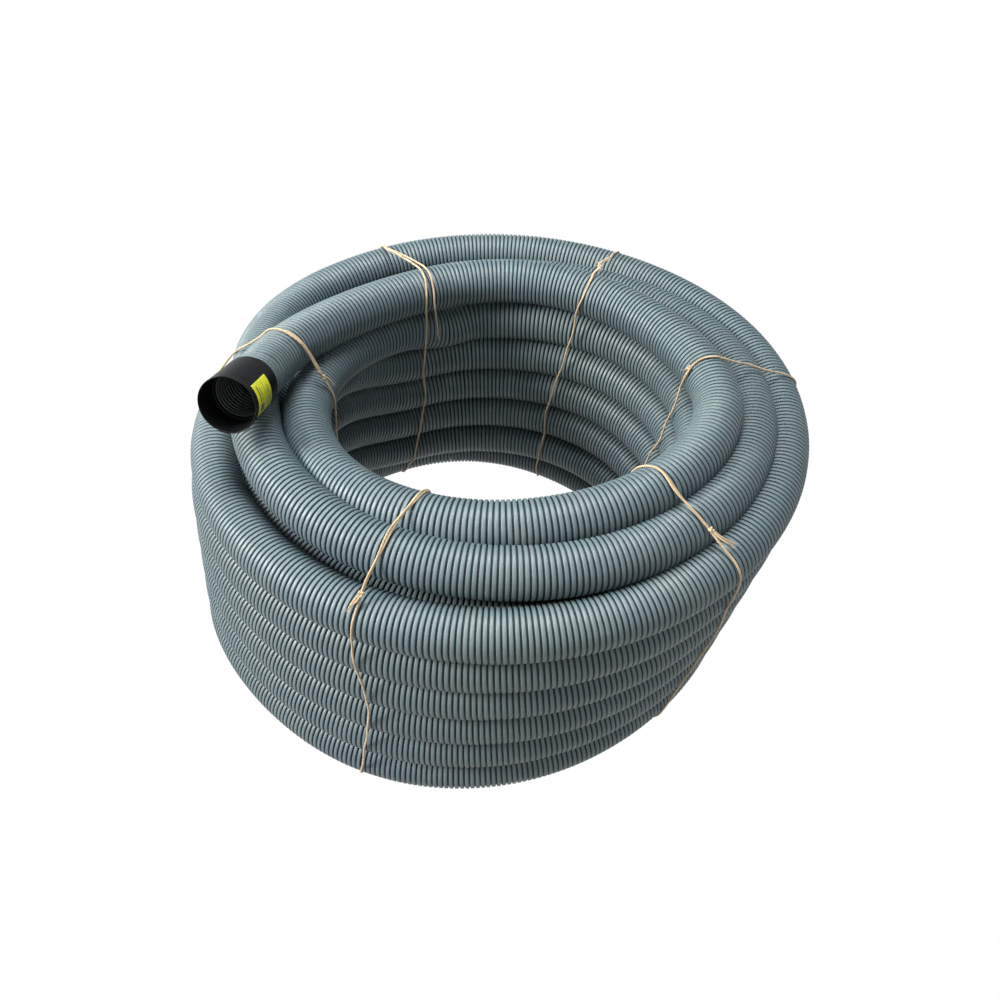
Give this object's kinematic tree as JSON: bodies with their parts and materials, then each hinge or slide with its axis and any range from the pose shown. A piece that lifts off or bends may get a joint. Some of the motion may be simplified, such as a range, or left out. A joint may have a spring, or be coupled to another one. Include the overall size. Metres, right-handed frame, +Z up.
{
  "type": "coiled ribbed waste hose with coupling",
  "caption": "Coil of grey ribbed waste hose tied with twine, its upper end raised above the coil and fitted with a short black push-on coupling with a label and an inner rubber seal.",
  "frame": {"origin": "middle of the whole coil's bounding box at the floor that it stands on", "axes": "+Z up out of the coil, -Y towards the front, where the coupling points; +X to the right seen from the front"},
  "size_m": [1.1207, 1.0791, 0.6641],
  "materials": {
    "hose": "satin ribbed polyethylene, blue grey",
    "coupling": "smooth moulded black plastic",
    "label": "yellow printed film with plain black marks",
    "seal": "black rubber",
    "twine": "rough twisted natural fibre"
  },
  "bodies": {
    "root": {"hose_coil": "hose", "hose_top_turn": "hose", "hose_end": "hose", "tie_left": "twine", "tie_back_left": "twine", "tie_front_left": "twine", "tie_front_right": "twine", "tie_right": "twine", "tie_back_right": "twine"},
    "seal": {"seal_ring": "seal"},
    "coupling": {"coupling": "coupling", "coupling_label": "label"}
  },
  "joints": [
    {"name": "coupling_twist", "type": "hinge", "parent": "root", "child": "seal", "pos_m": [-0.33439, -0.1826, 0.59107], "axis": [0, -0.9511, 0.309], "continuous": true},
    {"name": "coupling_pull", "type": "slide", "parent": "seal", "child": "coupling", "axis": [0, -0.9511, 0.309], "range_m": [0, 0.046]}
  ]
}
